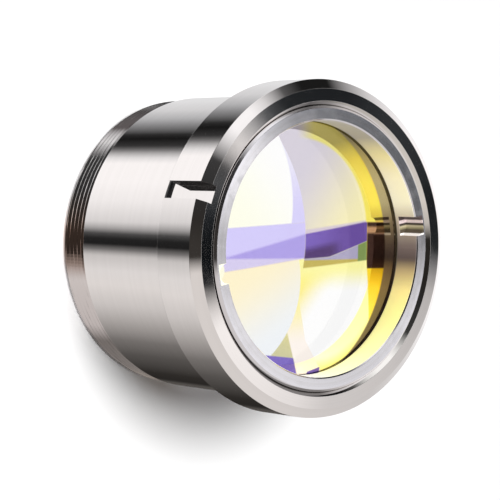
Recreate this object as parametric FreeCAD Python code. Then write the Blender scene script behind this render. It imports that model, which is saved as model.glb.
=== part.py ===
"""Collimating lens unit for a laser cutting head, lens diameter 28, focal length 100.

A turned steel barrel holds two lenses, kept apart by a spacer. A threaded ring at the front
presses the stack against a shoulder. Millimetres. Origin at the centre of the barrel's rear
face, +Z along the optical axis, towards the rim and the lens that is seen.
"""
import math
import os

import FreeCAD
import Part

# Lenses
lens_r = 14.0
lens_bevel = 0.25
front_lens_thickness = 5.0
front_lens_front_radius = 88.0
rear_lens_thickness = 5.0
rear_lens_front_radius = 55.0
rear_lens_rear_radius = 141.0
rear_lens_land = 1.4

# Washers and spacer
washer_wall = 1.0
front_washer_thickness = 0.25
rear_washer_thickness = 0.5
spacer_length = 3.5
spacer_wall = 1.05
spacer_clearance = 0.05
spacer_edge_break = 0.1

# Barrel, inside
lens_bore_clearance = 0.03
ring_thread_step = 0.4
ring_thread_depth = 4.4
ring_thread_mouth_chamfer = 0.4
lens_seat_width = 1.5
rear_mouth_chamfer = 0.4

# Barrel, outside
overall_length = 24.1
body_wall = 1.47
rim_step = 1.5
rim_width = 5.7
rim_chamfer_radial = 0.95
rim_chamfer_axial = 0.7
edge_break = 0.1

# Fine rear thread
thread_crest_step = 0.25
thread_zone_length = 4.1
thread_lead_radial = 0.35
thread_lead_length = 0.6
thread_pitch = 0.64
thread_depth = 0.36
thread_flank_angle = 60.0
thread_turns = 5

# Key slot in the rim
slot_width = 1.8
slot_floor_rise = 0.05
slot_angle = 160.7

# Seal ring in its groove behind the rim
seal_section = 0.9
seal_stand_proud = 0.23
seal_groove_width = 1.0
seal_groove_offset = 0.85

# Retaining ring
ring_grip = 1.14
ring_length = 2.9
ring_recess = 0.05
ring_thread_clearance = 0.05
ring_inner_chamfer = 0.15
ring_outer_chamfer = 0.25
notch_count = 2
notch_width = 2.0
notch_reach = 1.05
notch_depth = 2.5
notch_angle = 10.5


def sag(curve_radius, height):
    """Depth of a spherical surface at a height from its axis."""
    return curve_radius - math.sqrt(curve_radius ** 2 - height ** 2)


# Radii, worked out from the lens outwards
lens_bore_r = lens_r + lens_bore_clearance
ring_thread_r = lens_r + ring_thread_step
body_r = lens_bore_r + body_wall
rim_r = body_r + rim_step
thread_crest_r = body_r - thread_crest_step
ring_bore_r = lens_r - ring_grip
rear_bore_r = lens_r - lens_seat_width
rear_lens_hollow_r = lens_r - rear_lens_land

# The stack, worked out from the face of the rim down to the shoulder
rim_rear_z = overall_length - rim_width
ring_front_z = overall_length - ring_recess
ring_rear_z = ring_front_z - ring_length
washer_bore_r = lens_r - washer_wall
front_washer_rear_z = ring_rear_z - front_washer_thickness
front_lens_vertex_z = front_washer_rear_z + sag(front_lens_front_radius, washer_bore_r)
front_lens_rear_z = front_lens_vertex_z - front_lens_thickness
spacer_rear_z = front_lens_rear_z - spacer_length
spacer_bore_r = lens_r - spacer_wall
rear_lens_vertex_z = spacer_rear_z + sag(rear_lens_front_radius, spacer_bore_r)
rear_lens_hollow_z = rear_lens_vertex_z - rear_lens_thickness
rear_lens_rear_z = rear_lens_hollow_z - sag(rear_lens_rear_radius, rear_lens_hollow_r)
seat_z = rear_lens_rear_z - rear_washer_thickness
seal_groove_front_z = rim_rear_z - seal_groove_offset
seal_groove_r = body_r + seal_stand_proud - seal_section


def profile_point(radius, z):
    return FreeCAD.Vector(radius, 0, z)


def line(start, end):
    return Part.LineSegment(profile_point(*start), profile_point(*end)).toShape()


def arc(start, middle, end):
    return Part.Arc(profile_point(*start), profile_point(*middle), profile_point(*end)).toShape()


def revolve(edges):
    """Turn a closed half section about the optical axis."""
    face = Part.Face(Part.Wire(edges))
    solid = face.revolve(FreeCAD.Vector(0, 0, 0), FreeCAD.Vector(0, 0, 1), 360)
    if solid.Volume < 0:
        solid.reverse()
    return solid


def turned(points):
    """A turned piece from the corners of its half section, given as radius and z."""
    corners = points + points[:1]
    return revolve([line(corners[i], corners[i + 1]) for i in range(len(points))])


def washer(bore_r, outer_r, rear_z, thickness):
    return turned([
        (bore_r, rear_z),
        (outer_r, rear_z),
        (outer_r, rear_z + thickness),
        (bore_r, rear_z + thickness),
    ])


def turned_about(shape, degrees):
    """A copy turned about the optical axis."""
    copy = shape.copy()
    copy.rotate(FreeCAD.Vector(0, 0, 0), FreeCAD.Vector(0, 0, 1), degrees)
    return copy


def patterned(shape, count, first_angle):
    return [turned_about(shape, first_angle + 360.0 * i / count) for i in range(count)]


def thread_grooves():
    """Corners of a vee groove at each pitch: closed rings that stand for the thread's one helix."""
    half_width = thread_depth * math.tan(math.radians(thread_flank_angle / 2))
    corners = []
    for turn in range(thread_turns):
        middle_z = thread_lead_length + thread_pitch * (turn + 0.5)
        corners += [
            (thread_crest_r, middle_z - half_width),
            (thread_crest_r - thread_depth, middle_z),
            (thread_crest_r, middle_z + half_width),
        ]
    return corners


def barrel_outside():
    """Corners from the rear face up to the front face."""
    groove_rear_z = seal_groove_front_z - seal_groove_width
    return [
        (thread_crest_r - thread_lead_radial, 0),
        (thread_crest_r, thread_lead_length),
    ] + thread_grooves() + [
        (thread_crest_r, thread_zone_length),
        (body_r - edge_break, thread_zone_length),
        (body_r, thread_zone_length + edge_break),
        (body_r, groove_rear_z),
        (seal_groove_r, groove_rear_z),
        (seal_groove_r, seal_groove_front_z),
        (body_r, seal_groove_front_z),
        (body_r, rim_rear_z),
        (rim_r - edge_break, rim_rear_z),
        (rim_r, rim_rear_z + edge_break),
        (rim_r, overall_length - rim_chamfer_axial),
        (rim_r - rim_chamfer_radial, overall_length),
    ]


def barrel_inside():
    """Corners from the front face down to the rear face."""
    ring_thread_end_z = overall_length - ring_thread_depth
    return [
        (ring_thread_r + ring_thread_mouth_chamfer, overall_length),
        (ring_thread_r, overall_length - ring_thread_mouth_chamfer),
        (ring_thread_r, ring_thread_end_z),
        (lens_bore_r, ring_thread_end_z),
        (lens_bore_r, seat_z),
        (rear_bore_r, seat_z),
        (rear_bore_r, rear_mouth_chamfer),
        (rear_bore_r + rear_mouth_chamfer, 0),
    ]


def key_slot():
    """Cutter for the slot: a flat floor just above the body, open at the face and behind the rim."""
    floor_r = body_r + slot_floor_rise
    overrun = 1.0
    cutter = Part.makeBox(rim_r - floor_r + overrun, slot_width, rim_width + 2 * overrun)
    cutter.translate(FreeCAD.Vector(floor_r, -slot_width / 2, rim_rear_z - overrun))
    return turned_about(cutter, slot_angle)


def make_barrel():
    body = turned(barrel_outside() + barrel_inside())
    return body.cut(key_slot())


def pin_notch():
    """Cutter for one half-round notch in the ring's bore, open at its face."""
    overrun = 1.0
    centre_r = ring_bore_r + notch_reach - notch_width / 2
    low_z = ring_front_z - notch_depth
    hollow = Part.makeCylinder(notch_width / 2, notch_depth + overrun, FreeCAD.Vector(centre_r, 0, low_z))
    channel = Part.makeBox(overrun + notch_width / 2, notch_width, notch_depth + overrun)
    channel.translate(FreeCAD.Vector(centre_r - channel.BoundBox.XLength, -notch_width / 2, low_z))
    return hollow.fuse(channel)


def make_retaining_ring():
    ring_r = ring_thread_r - ring_thread_clearance
    ring = turned([
        (ring_bore_r, ring_rear_z),
        (ring_r - ring_outer_chamfer, ring_rear_z),
        (ring_r, ring_rear_z + ring_outer_chamfer),
        (ring_r, ring_front_z - ring_outer_chamfer),
        (ring_r - ring_outer_chamfer, ring_front_z),
        (ring_bore_r + ring_inner_chamfer, ring_front_z),
        (ring_bore_r, ring_front_z - ring_inner_chamfer),
    ])
    return ring.cut(patterned(pin_notch(), notch_count, notch_angle))


def dome_arc(vertex_z, curve_radius, height):
    """Arc of a surface that is highest on the axis, from the axis out to a height."""
    middle = height / 2
    return arc(
        (0, vertex_z),
        (middle, vertex_z - sag(curve_radius, middle)),
        (height, vertex_z - sag(curve_radius, height)),
    )


def make_front_lens():
    """Domed at the front, flat behind."""
    face_r = lens_r - lens_bevel
    shoulder_z = front_lens_vertex_z - sag(front_lens_front_radius, face_r)
    front_edge = (lens_r, shoulder_z - lens_bevel)
    rear_edge = (lens_r, front_lens_rear_z + lens_bevel)
    return revolve([
        dome_arc(front_lens_vertex_z, front_lens_front_radius, face_r),
        line((face_r, shoulder_z), front_edge),
        line(front_edge, rear_edge),
        line(rear_edge, (face_r, front_lens_rear_z)),
        line((face_r, front_lens_rear_z), (0, front_lens_rear_z)),
        line((0, front_lens_rear_z), (0, front_lens_vertex_z)),
    ])


def make_rear_lens():
    """A meniscus: domed at the front, hollow behind, with a flat land at its rear edge."""
    face_r = lens_r - lens_bevel
    shoulder_z = rear_lens_vertex_z - sag(rear_lens_front_radius, face_r)
    front_edge = (lens_r, shoulder_z - lens_bevel)
    rear_edge = (lens_r, rear_lens_rear_z + lens_bevel)
    return revolve([
        dome_arc(rear_lens_vertex_z, rear_lens_front_radius, face_r),
        line((face_r, shoulder_z), front_edge),
        line(front_edge, rear_edge),
        line(rear_edge, (face_r, rear_lens_rear_z)),
        line((face_r, rear_lens_rear_z), (rear_lens_hollow_r, rear_lens_rear_z)),
        dome_arc(rear_lens_hollow_z, rear_lens_rear_radius, rear_lens_hollow_r),
        line((0, rear_lens_hollow_z), (0, rear_lens_vertex_z)),
    ])


def make_lens_spacer():
    """Sleeve between the lenses, with its outer corners broken."""
    outer_r = lens_bore_r - spacer_clearance
    return turned([
        (spacer_bore_r, spacer_rear_z),
        (outer_r - spacer_edge_break, spacer_rear_z),
        (outer_r, spacer_rear_z + spacer_edge_break),
        (outer_r, front_lens_rear_z - spacer_edge_break),
        (outer_r - spacer_edge_break, front_lens_rear_z),
        (spacer_bore_r, front_lens_rear_z),
    ])


def make_seal_ring():
    """Round rubber ring that stands a little proud of the body."""
    section_r = seal_section / 2
    centre = FreeCAD.Vector(0, 0, seal_groove_front_z - seal_groove_width / 2)
    return Part.makeTorus(seal_groove_r + section_r, section_r, centre)


def make_parts():
    washer_outer_r = lens_r - spacer_clearance
    return {
        "barrel": make_barrel(),
        "retaining_ring": make_retaining_ring(),
        "front_washer": washer(washer_bore_r, washer_outer_r, front_washer_rear_z, front_washer_thickness),
        "front_lens": make_front_lens(),
        "lens_spacer": make_lens_spacer(),
        "rear_lens": make_rear_lens(),
        "rear_washer": washer(washer_bore_r, washer_outer_r, seat_z, rear_washer_thickness),
        "seal_ring": make_seal_ring(),
    }


def main():
    os.makedirs("parts", exist_ok=True)
    for name, shape in make_parts().items():
        shape.exportStep("parts/" + name + ".step")
        print(name, "valid", shape.isValid(), "solids", len(shape.Solids), "volume", round(shape.Volume, 2))


main()
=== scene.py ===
"""Looks of a collimating lens unit: a polished steel barrel with a fine rear thread, a wide
slotted rim, a notched retaining ring and two coated lenses. Sizes are in metres, in the
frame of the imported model: origin at the centre of the rear face, +Z along the optical axis.
"""

import math

import bmesh
import bpy
from bpy.props import FloatProperty, FloatVectorProperty, IntProperty, PointerProperty
from bpy.types import Operator, Panel, PropertyGroup
from mathutils import Matrix, Vector


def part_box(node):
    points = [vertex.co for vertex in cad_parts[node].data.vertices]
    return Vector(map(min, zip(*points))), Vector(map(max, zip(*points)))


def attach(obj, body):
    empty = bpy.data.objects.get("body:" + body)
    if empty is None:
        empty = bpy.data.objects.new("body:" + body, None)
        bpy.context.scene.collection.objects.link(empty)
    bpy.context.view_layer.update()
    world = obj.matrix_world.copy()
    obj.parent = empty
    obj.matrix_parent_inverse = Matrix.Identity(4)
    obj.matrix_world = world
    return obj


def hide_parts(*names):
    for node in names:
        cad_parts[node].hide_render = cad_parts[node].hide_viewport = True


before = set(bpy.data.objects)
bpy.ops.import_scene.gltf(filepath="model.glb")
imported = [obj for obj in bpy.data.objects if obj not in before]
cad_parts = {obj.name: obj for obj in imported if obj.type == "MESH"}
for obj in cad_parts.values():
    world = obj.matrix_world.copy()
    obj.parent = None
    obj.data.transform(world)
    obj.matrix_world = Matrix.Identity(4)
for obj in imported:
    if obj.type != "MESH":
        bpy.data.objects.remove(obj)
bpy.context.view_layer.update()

bl_info = {
    "name": "Collimating lens unit",
    "version": (1, 0, 0),
    "blender": (4, 5, 0),
    "location": "View3D > Sidebar > Lens unit",
    "description": "Builds the visible parts of a collimating lens unit around its solid model",
    "category": "Object",
}

MM = 0.001

# Boxes of the solid parts, which give the outsides and the places of the pieces here
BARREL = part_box("barrel")
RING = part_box("retaining_ring")
FRONT_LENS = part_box("front_lens")
REAR_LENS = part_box("rear_lens")
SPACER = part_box("lens_spacer")
FRONT_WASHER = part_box("front_washer")
REAR_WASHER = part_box("rear_washer")
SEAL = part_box("seal_ring")


def length(name, description, default):
    return FloatProperty(
        name=name, description=description, default=default, unit="LENGTH", precision=5
    )


def angle(name, description, degrees):
    return FloatProperty(
        name=name, description=description, default=math.radians(degrees), subtype="ANGLE"
    )


def number(name, description, default):
    return FloatProperty(name=name, description=description, default=default)


def count(name, description, default):
    return IntProperty(name=name, description=description, default=default)


def colour(name, description, default):
    return FloatVectorProperty(
        name=name, description=description, default=default, subtype="COLOR", size=3, min=0, max=1
    )


def direction(name, description, default):
    return FloatVectorProperty(name=name, description=description, default=default, size=3)


class BarrelSizes(PropertyGroup):
    rim_radius: length("Rim radius", "Outside of the rim", BARREL[1].x)
    overall_length: length("Overall length", "Rear face to front face", BARREL[1].z)
    body_radius: length("Body radius", "Plain cylinder behind the rim", 15.5 * MM)
    rim_width: length("Rim width", "Width of the rim along the axis", 5.7 * MM)
    rim_chamfer_radial: length("Rim chamfer, radial", "How far the chamfer goes in", 0.95 * MM)
    rim_chamfer_axial: length("Rim chamfer, axial", "How far the chamfer goes back", 0.7 * MM)
    mouth_radius: length("Mouth radius", "Chamfer at the front of the inner thread", 14.8 * MM)
    ring_thread_radius: length("Ring thread radius", "Bore that holds the ring", 14.4 * MM)
    ring_thread_depth: length("Ring thread depth", "Depth of that bore", 4.4 * MM)
    lens_bore_radius: length("Lens bore radius", "Bore that holds the lenses", 14.03 * MM)
    rear_bore_radius: length("Rear bore radius", "Clear bore behind the seat", 12.5 * MM)
    rear_chamfer: length("Rear chamfer", "Chamfer of the rear bore", 0.4 * MM)
    edge_round: length("Edge round", "Radius that every turned edge is broken to", 0.045 * MM)
    face_rise: length("Face rise", "How far the front face falls off towards its rim", 0.05 * MM)
    segments: count("Segments", "Sides of each turned part", 288)


class ThreadSizes(PropertyGroup):
    crest_radius: length("Crest radius", "Outside of the rear thread", 15.25 * MM)
    zone_length: length("Zone length", "Threaded length from the rear face", 4.1 * MM)
    pitch: length("Pitch", "Distance from groove to groove", 0.64 * MM)
    depth: length("Depth", "Depth of a groove", 0.36 * MM)
    first_groove: length("First groove", "Height of the helix at zero degrees", 0.12 * MM)
    lead_length: length("Lead length", "Length of the chamfer at the rear end", 0.6 * MM)
    lead_depth: length("Lead depth", "Depth of the chamfer at the rear end", 0.35 * MM)
    run_out: length("Run-out", "Length over which the last groove fades", 0.5 * MM)
    core_radius: length("Core radius", "Inside of the threaded band", 14.84 * MM)
    rows: count("Rows", "Rows of points along the thread", 108)


class KeySlotSizes(PropertyGroup):
    width: length("Width", "Width of the slot", 1.8 * MM)
    floor_rise: length("Floor rise", "Height of the floor over the body", 0.05 * MM)
    direction: angle("Direction", "Direction of the slot from the axis", 160.7)
    seal_groove_depth: length("Seal groove depth", "Depth of the seal's groove", 0.67 * MM)
    seal_groove_width: length("Seal groove width", "Width of the seal's groove", 1.0 * MM)


class RingSizes(PropertyGroup):
    bore_radius: length("Bore radius", "Aperture of the retaining ring", 12.86 * MM)
    inner_chamfer: length("Inner chamfer", "Chamfer of the bore", 0.15 * MM)
    outer_chamfer: length("Outer chamfer", "Chamfer of the outside", 0.25 * MM)
    notch_count: count("Notch count", "Notches for the pin spanner", 2)
    notch_width: length("Notch width", "Width of a notch", 2.0 * MM)
    notch_reach: length("Notch reach", "How far a notch goes into the wall", 1.05 * MM)
    notch_depth: length("Notch depth", "Depth of a notch from the front", 2.5 * MM)
    notch_angle: angle("Notch angle", "Direction of the first notch", 10.5)


class LensSizes(PropertyGroup):
    bevel: length("Bevel", "Ground bevel at the rim of a lens", 0.25 * MM)
    front_radius: length("Front lens radius", "Radius of the domed front", 88 * MM)
    rear_front_radius: length("Rear lens front radius", "Radius of its domed front", 55 * MM)
    rear_back_radius: length("Rear lens back radius", "Radius of its hollow back", 141 * MM)
    rear_land: length("Rear land radius", "Inside of the flat land at the back", 12.6 * MM)
    coated_radius: length("Coated radius", "Outside of the coated area", 13.4 * MM)
    washer_reach: length("Washer reach", "How far the washers come in over a lens", 1.0 * MM)
    spacer_reach: length("Spacer reach", "How far the sleeve comes in over a lens", 1.05 * MM)


class UnitColours(PropertyGroup):
    steel: colour("Steel", "Polished barrel", (0.945, 0.906, 0.902))
    steel_streak: colour("Steel streaks", "Darker turning marks", (0.70, 0.67, 0.66))
    ring: colour("Ring", "Satin retaining ring", (0.88, 0.86, 0.91))
    spacer: colour("Spacer", "Sleeve between the lenses", (0.70, 0.66, 0.60))
    glass: colour("Glass", "Uncoated glass", (0.98, 0.98, 0.96))
    washer: colour("Washer", "Plastic washers", (0.62, 0.60, 0.55))
    rubber: colour("Rubber", "Seal ring", (0.012, 0.012, 0.013))


class StudioSettings(PropertyGroup):
    lens: number("Lens", "Focal length in millimetres", 145.8)
    location: FloatVectorProperty(
        name="Camera location", description="Where the camera stands", size=3, unit="LENGTH",
        default=(-0.1371, 0.0052, 0.1734),
    )
    back: direction("Camera back", "Direction from the subject to the camera", (-0.6479, 0.0270, 0.7612))
    roll: angle("Roll", "Turn of the camera about its own axis", 1.318)
    floor_size: length("Floor size", "Side of the square floor", 3.0)
    shade_light: number("Shade light", "White that the floor gets all round", 0.04)
    sun_strength: number("Sun strength", "Strength of the soft sun", 3.25)
    sun_spread: angle("Sun spread", "Apparent size of the soft sun", 22)
    sun_from: direction("Sun from", "Direction to the soft sun", (-0.17, 0.15, 0.75))


def settings(name):
    """One of the groups of sizes, colours or settings that the scene holds."""
    return getattr(bpy.context.scene, name)


# Meshes

# Share of an edge that a rounded corner may take up, and a radius that counts as the axis
CORNER_SHARE = 0.45
ON_AXIS = 1e-9


def add_object(name, data):
    """A new object in the scene's own collection."""
    made = bpy.data.objects.new(name, data)
    bpy.context.scene.collection.objects.link(made)
    return made


def finish_mesh(name, mesh, finishes, nodes):
    """Make a finished mesh a piece that stands for solid parts of the model."""
    piece = add_object(name, mesh)
    for finish in finishes:
        mesh.materials.append(bpy.data.materials[finish])
    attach(piece, "root")
    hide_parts(*nodes)


def to_mesh(shape, name):
    """The mesh of a bmesh, which is freed."""
    mesh = bpy.data.meshes.new(name)
    shape.to_mesh(mesh)
    shape.free()
    return mesh


def rounded(points, radius, steps=3):
    """Corners of a closed half section with each corner turned to a small arc."""
    result = []
    for i, point in enumerate(points):
        corner = Vector(point)
        before = Vector(points[i - 1]) - corner
        after = Vector(points[(i + 1) % len(points)]) - corner
        turn = math.pi - before.angle(after)
        reach = min(radius * math.tan(turn / 2), before.length * CORNER_SHARE, after.length * CORNER_SHARE)
        start = corner + before.normalized() * reach
        end = corner + after.normalized() * reach
        for step in range(steps + 1):
            t = step / steps
            result.append(tuple(start * (1 - t) ** 2 + corner * 2 * t * (1 - t) + end * t ** 2))
    return result


def lathe(profile, segments, closed=True, zones=None):
    """Turn a half section of (radius, z) points about the axis. zones gives a face material."""
    shape = bmesh.new()
    rings = []
    for radius, z in profile:
        if radius < ON_AXIS:
            rings.append([shape.verts.new((0, 0, z))])
            continue
        ring = []
        for i in range(segments):
            a = 2 * math.pi * i / segments
            ring.append(shape.verts.new((radius * math.cos(a), radius * math.sin(a), z)))
        rings.append(ring)
    last = len(rings) if closed else len(rings) - 1
    for k in range(last):
        low, high = rings[k], rings[(k + 1) % len(rings)]
        for i in range(segments):
            j = (i + 1) % segments
            corners = [low[i % len(low)], low[j % len(low)], high[j % len(high)], high[i % len(high)]]
            corners = list(dict.fromkeys(corners))
            if len(corners) > 2:
                face = shape.faces.new(corners)
                face.smooth = True
                face.material_index = zones[k] if zones else 0
    bmesh.ops.recalc_face_normals(shape, faces=shape.faces)
    return to_mesh(shape, "turned")


def evaluated(mesh, modifiers):
    """A mesh with modifiers applied. Each is (type, settings)."""
    temp = add_object("temp", mesh)
    for kind, values in modifiers:
        modifier = temp.modifiers.new(kind, kind)
        for key, value in values.items():
            setattr(modifier, key, value)
    graph = bpy.context.evaluated_depsgraph_get()
    graph.update()
    result = bpy.data.meshes.new_from_object(temp.evaluated_get(graph))
    bpy.data.objects.remove(temp)
    return result


def cutter_object(meshes):
    """One hidden object with the meshes that cut a piece."""
    shape = bmesh.new()
    for mesh in meshes:
        shape.from_mesh(mesh)
    cutter = add_object("cutter", to_mesh(shape, "cutter"))
    cutter.hide_render = True
    return cutter


def prism(outline, low_z, high_z):
    """A closed straight prism over a counterclockwise outline."""
    shape = bmesh.new()
    low = [shape.verts.new((x, y, low_z)) for x, y in outline]
    high = [shape.verts.new((x, y, high_z)) for x, y in outline]
    shape.faces.new(list(reversed(low)))
    shape.faces.new(high)
    for i in range(len(outline)):
        j = (i + 1) % len(outline)
        shape.faces.new([low[i], low[j], high[j], high[i]])
    return to_mesh(shape, "prism")


def turned_copy(mesh, turn):
    """A copy of a mesh, turned about the axis."""
    copy = mesh.copy()
    copy.transform(Matrix.Rotation(turn, 4, "Z"))
    return copy


def shaded(mesh, crease=math.radians(35)):
    """Smooth shading that stays flat on flats: sharp edges by angle, then weighted normals.
    The modifier takes faces under its threshold as equal, so it is given millimetres."""
    for polygon in mesh.polygons:
        polygon.use_smooth = True
    mesh.set_sharp_from_angle(angle=crease)
    mesh.transform(Matrix.Scale(1 / MM, 4))
    mesh = evaluated(mesh, [("WEIGHTED_NORMAL", {"keep_sharp": True, "weight": 100})])
    mesh.transform(Matrix.Scale(MM, 4))
    return mesh


def cut_and_break(mesh, cutters, edge):
    """Cut slots or notches, then break the new edges."""
    cutter = cutter_object(cutters)
    result = evaluated(mesh, [
        ("BOOLEAN", {"object": cutter, "operation": "DIFFERENCE", "solver": "EXACT"}),
        ("BEVEL", {"width": edge, "segments": 2, "limit_method": "ANGLE",
                   "angle_limit": math.radians(50), "harden_normals": False}),
    ])
    bpy.data.objects.remove(cutter)
    return shaded(result)


# Node helpers

class Tree:
    """Short calls for building a node tree."""

    def __init__(self, tree):
        self.tree = tree

    def node(self, kind, inputs=None, **values):
        made = self.tree.nodes.new(kind)
        for key, value in values.items():
            setattr(made, key, value)
        for key, value in (inputs or {}).items():
            self.feed(made.inputs[key], value)
        return made

    def feed(self, socket, value):
        if isinstance(value, bpy.types.NodeSocket):
            self.tree.links.new(value, socket)
        else:
            socket.default_value = value

    def math(self, operation, *values, clamp=False):
        made = self.tree.nodes.new("ShaderNodeMath")
        made.operation = operation
        made.use_clamp = clamp
        for socket, value in zip(made.inputs, values):
            self.feed(socket, value)
        return made.outputs[0]

    def smooth(self, value, low, high, start=0.0, end=1.0):
        """Smooth step of a value from low to high."""
        made = self.node("ShaderNodeMapRange", interpolation_type="SMOOTHSTEP")
        ends = {"Value": value, "From Min": low, "From Max": high, "To Min": start, "To Max": end}
        for key, item in ends.items():
            self.feed(made.inputs[key], item)
        return made.outputs["Result"]

    def length(self, first, second):
        """Length of a flat vector."""
        squares = [self.math("MULTIPLY", part, part) for part in (first, second)]
        return self.math("SQRT", self.math("ADD", *squares))

    def parts(self, vector):
        """The x, y and z of a vector."""
        return self.node("ShaderNodeSeparateXYZ", {0: vector}).outputs

    def noise(self, detail=2, **inputs):
        """Noise with named inputs. Given W, it changes along that one value only."""
        made = self.node("ShaderNodeTexNoise", noise_dimensions="1D" if "W" in inputs else "3D")
        made.inputs["Detail"].default_value = detail
        for key, value in inputs.items():
            self.feed(made.inputs[key], value)
        return made.outputs["Fac"]

    def relief(self, shader, height, strength, distance):
        """Let a height bend the light on a shader."""
        bump = self.node("ShaderNodeBump", {"Strength": strength, "Distance": distance, "Height": height})
        self.feed(shader.inputs["Normal"], bump.outputs[0])

    def mix(self, factor, first, second):
        """A blend of two colours, each a socket or a tuple."""
        made = self.node("ShaderNodeMix", data_type="RGBA")
        self.feed(made.inputs["Factor"], factor)
        for socket, value in zip(made.inputs[6:8], (first, second)):
            if isinstance(value, bpy.types.NodeSocket):
                self.tree.links.new(value, socket)
            else:
                socket.default_value = tuple(value)[:3] + (1,)
        return made.outputs[2]

    def by_angle(self, up, across, tones):
        """A tone by the angle of a direction, in degrees."""
        turn = self.math("DIVIDE", self.math("ARCTAN2", up, across), 2 * math.pi)
        stops = [((degrees + 180) / 360, tone) for degrees, tone in tones]
        return self.ramp(self.math("ADD", turn, 0.5), stops)

    def ramp(self, value, stops):
        """A tone by a value, from stops of (place, tone)."""
        made = self.node("ShaderNodeValToRGB")
        self.feed(made.inputs["Fac"], value)
        elements = made.color_ramp.elements
        while len(elements) > 1:
            elements.remove(elements[0])
        for i, (place, tone) in enumerate(stops):
            element = elements[0] if i == 0 else elements.new(place)
            element.position = place
            element.color = tuple(tone) + (1,)
        return made.outputs["Color"]


def new_group(name, inputs, outputs):
    """A shader node group with named float, vector or colour sockets."""
    group = bpy.data.node_groups.new(name, "ShaderNodeTree")
    for title, kind, default in inputs:
        socket = group.interface.new_socket(title, in_out="INPUT", socket_type=kind)
        if default is not None:
            socket.default_value = default
    for title, kind in outputs:
        group.interface.new_socket(title, in_out="OUTPUT", socket_type=kind)
    tree = Tree(group)
    return group, tree, tree.node("NodeGroupInput").outputs, tree.node("NodeGroupOutput").inputs


# Finishes

# How many times closer the grooves lie on a face than on a wall
FACE_GROOVES = 1.9


def turning_marks_group():
    """Fine grooves that run round the axis, on walls and faces alike, with faint mottling."""
    group, tree, given, out = new_group(
        "turning_marks",
        [("Point", "NodeSocketVector", None), ("Fine Per Metre", "NodeSocketFloat", 9000.0),
         ("Coarse Per Metre", "NodeSocketFloat", 1200.0), ("Mottle Per Metre", "NodeSocketFloat", 900.0)],
        [("Height", "NodeSocketFloat"), ("Streaks", "NodeSocketFloat"), ("Mottle", "NodeSocketFloat"),
         ("Radius", "NodeSocketFloat")],
    )
    x, y, z = tree.parts(given["Point"])
    radius = tree.length(x, y)
    along = tree.math("ADD", z, tree.math("MULTIPLY", radius, FACE_GROOVES))
    scaled = tree.node("ShaderNodeVectorMath", operation="SCALE")
    tree.feed(scaled.inputs[0], given["Point"])
    tree.feed(scaled.inputs["Scale"], given["Mottle Per Metre"])
    fine = tree.noise(3, W=tree.math("MULTIPLY", along, given["Fine Per Metre"]), Scale=1)
    coarse = tree.noise(W=tree.math("MULTIPLY", along, given["Coarse Per Metre"]), Scale=1)
    mottle = tree.noise(4, Vector=scaled.outputs[0], Scale=1)
    tree.feed(out["Radius"], radius)
    tree.feed(out["Height"], fine)
    tree.feed(out["Streaks"], tree.smooth(coarse, 0.35, 0.65))
    tree.feed(out["Mottle"], tree.smooth(mottle, 0.4, 0.7))
    return group


def new_material(name):
    """A material with an empty Principled shader, and the point on the piece that it paints."""
    material = bpy.data.materials.new(name)
    material.use_nodes = True
    material.node_tree.nodes.clear()
    tree = Tree(material.node_tree)
    output = tree.node("ShaderNodeOutputMaterial")
    shader = tree.node("ShaderNodeBsdfPrincipled")
    tree.feed(output.inputs["Surface"], shader.outputs[0])
    return tree, shader, tree.node("ShaderNodeTexCoord").outputs["Object"]


def screen(red, green, blue):
    """A colour given as it shows on screen, from 0 to 255."""
    return tuple((part / 255) ** 2.2 for part in (red, green, blue))


def shade(display, warm=0.0):
    """A near-neutral tone, given as it shows on screen. warm moves it from blue to red."""
    level = display ** 2.2
    return (level * (1 + warm), level, level * (1 - warm))


# Tones by azimuth have their angle in degrees from the camera's side, and blend into the next

# Painted light: the light that the coatings throw on the ring's bore, painted into its colour by azimuth
BORE_PAINTED_LIGHT = [
    (-180, screen(120, 106, 102)), (-175, screen(96, 84, 82)), (-170, screen(190, 168, 125)),
    (-160, screen(255, 238, 160)), (-150, screen(255, 250, 165)), (-125, screen(255, 250, 180)),
    (-100, screen(255, 252, 215)), (-80, screen(242, 240, 246)), (60, screen(242, 240, 246)),
    (90, screen(170, 166, 168)), (118, screen(166, 160, 156)), (132, screen(236, 224, 176)),
    (146, screen(255, 248, 222)), (158, screen(255, 250, 226)), (168, screen(190, 176, 158)),
    (179, screen(124, 110, 106)),
]

# Painted reflection: dark and bright stripes that a notch mirrors, from its upper side down
NOTCH_PAINTED_REFLECTION = [
    (0.00, screen(90, 80, 80)), (0.20, screen(70, 60, 60)), (0.27, screen(222, 204, 204)),
    (0.38, screen(222, 204, 204)), (0.43, screen(62, 56, 52)), (0.50, screen(66, 60, 54)),
    (0.57, screen(186, 176, 146)), (0.66, screen(150, 142, 112)), (0.76, screen(84, 76, 64)),
    (0.90, screen(84, 76, 64)), (0.94, screen(255, 250, 248)), (1.00, screen(255, 250, 248)),
]

# Painted reflection on the chamfer round the barrel's mouth: tones of its steel by azimuth
MOUTH_PAINTED_REFLECTION = [
    (-180, shade(0.72, 0.05)), (-140, shade(0.97, 0.03)), (-112, shade(0.95, 0.03)),
    (-100, shade(0.79, 0.05)), (-90, shade(0.50, 0.06)), (-60, shade(0.46, 0.06)),
    (-45, shade(0.60, 0.06)), (-30, shade(0.79, 0.05)), (-18, shade(0.90, 0.05)),
    (-8, shade(0.55, 0.06)), (10, shade(0.53, 0.06)), (22, shade(0.93, 0.04)),
    (60, shade(0.93, 0.04)), (70, shade(0.53, 0.05)), (80, shade(0.35, 0.05)),
    (90, shade(0.53, 0.05)), (100, shade(0.79, 0.05)), (130, shade(0.89, 0.05)),
    (160, shade(0.93, 0.05)), (179, shade(0.72, 0.05)),
]
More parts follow.
